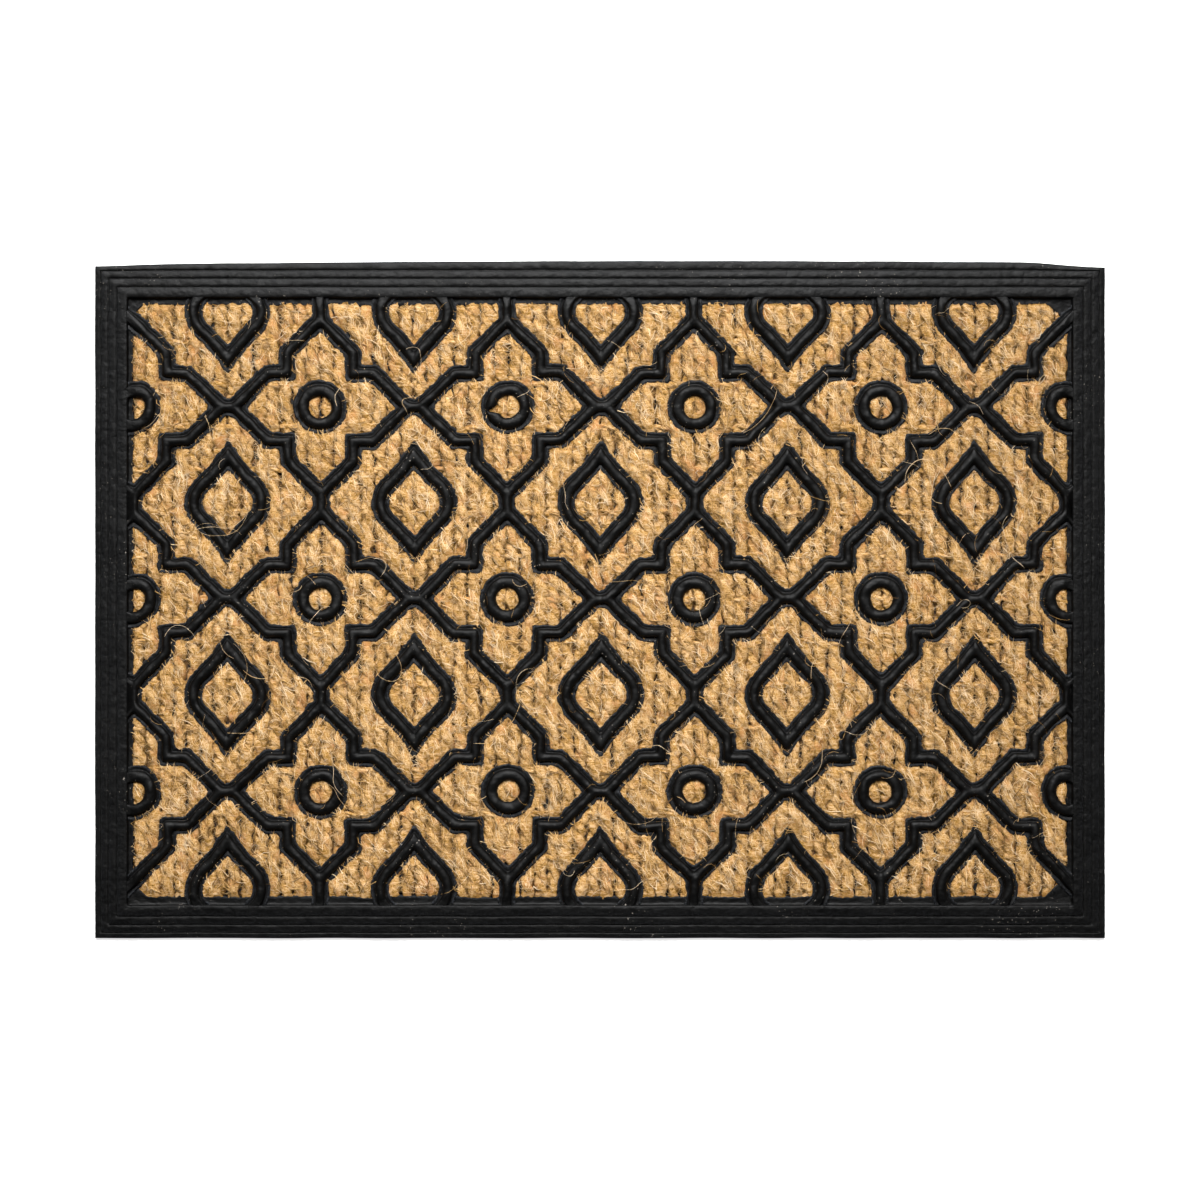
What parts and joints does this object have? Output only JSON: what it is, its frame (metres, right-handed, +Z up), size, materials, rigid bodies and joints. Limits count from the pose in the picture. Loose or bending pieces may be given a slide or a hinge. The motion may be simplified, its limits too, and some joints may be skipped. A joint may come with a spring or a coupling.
{
  "type": "door mat",
  "caption": "Flat door mat of woven coir with a black rubber backing, a stepped rubber border and raised rubber ribs in a lattice, ring and drop pattern.",
  "frame": {"origin": "centre of the underside, on the floor", "axes": "+X along the long side, +Y along the short side towards the rear, +Z up out of the tread"},
  "size_m": [0.6, 0.4, 0.0082],
  "materials": {
    "black_rubber": "satin charcoal-black moulded rubber, rougher on the flanges",
    "golden_coir": "golden tan woven coir yarn, hairy and matt"
  },
  "bodies": {
    "root": {"backing_sheet": "black_rubber", "border_frame": "black_rubber", "coir_mat": "golden_coir", "drop_2_1": "black_rubber", "drop_2_2": "black_rubber", "drop_2_3": "black_rubber", "drop_2_4": "black_rubber", "drop_2_5": "black_rubber", "drop_3_1": "black_rubber", "drop_3_2": "black_rubber", "drop_3_3": "black_rubber", "drop_3_4": "black_rubber", "drop_3_5": "black_rubber", "half_drop_1_1": "black_rubber", "half_drop_1_2": "black_rubber", "half_drop_1_3": "black_rubber", "half_drop_1_4": "black_rubber", "half_drop_1_5": "black_rubber", "half_drop_4_1": "black_rubber", "half_drop_4_2": "black_rubber", "half_drop_4_3": "black_rubber", "half_drop_4_4": "black_rubber", "half_drop_4_5": "black_rubber", "half_ring_1_1": "black_rubber", "half_ring_1_6": "black_rubber", "half_ring_2_1": "black_rubber", "half_ring_2_6": "black_rubber", "half_ring_3_1": "black_rubber", "half_ring_3_6": "black_rubber", "lattice": "black_rubber", "ring_1_2": "black_rubber", "ring_1_3": "black_rubber", "ring_1_4": "black_rubber", "ring_1_5": "black_rubber", "ring_2_2": "black_rubber", "ring_2_3": "black_rubber", "ring_2_4": "black_rubber", "ring_2_5": "black_rubber", "ring_3_2": "black_rubber", "ring_3_3": "black_rubber", "ring_3_4": "black_rubber", "ring_3_5": "black_rubber"}
  },
  "joints": []
}
